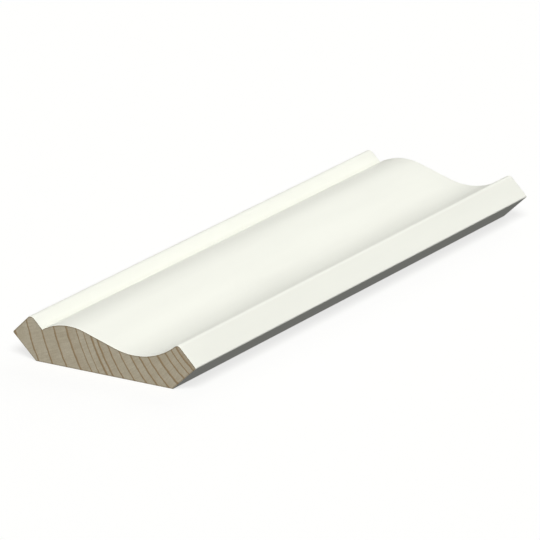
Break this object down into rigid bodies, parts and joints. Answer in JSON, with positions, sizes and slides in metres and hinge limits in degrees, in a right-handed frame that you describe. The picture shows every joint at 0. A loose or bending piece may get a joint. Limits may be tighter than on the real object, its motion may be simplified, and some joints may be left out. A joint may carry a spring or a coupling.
{
  "type": "crown moulding length",
  "caption": "Short length of sprung softwood crown moulding with an ogee face, painted white, bevelled to sit against wall and ceiling, ends cut square.",
  "frame": {"origin": "under the middle of the moulding, on the plane of its flat back", "axes": "+X along the length, +Y towards the wall side with the bead and step, -Y towards the ceiling side with the plain lip, +Z out of the face"},
  "size_m": [0.213, 0.07, 0.015],
  "materials": {
    "white_painted_pine": "satin white paint over planed pine, the sawn ends bare end grain"
  },
  "bodies": {
    "root": {"moulding": "white_painted_pine"}
  },
  "joints": []
}
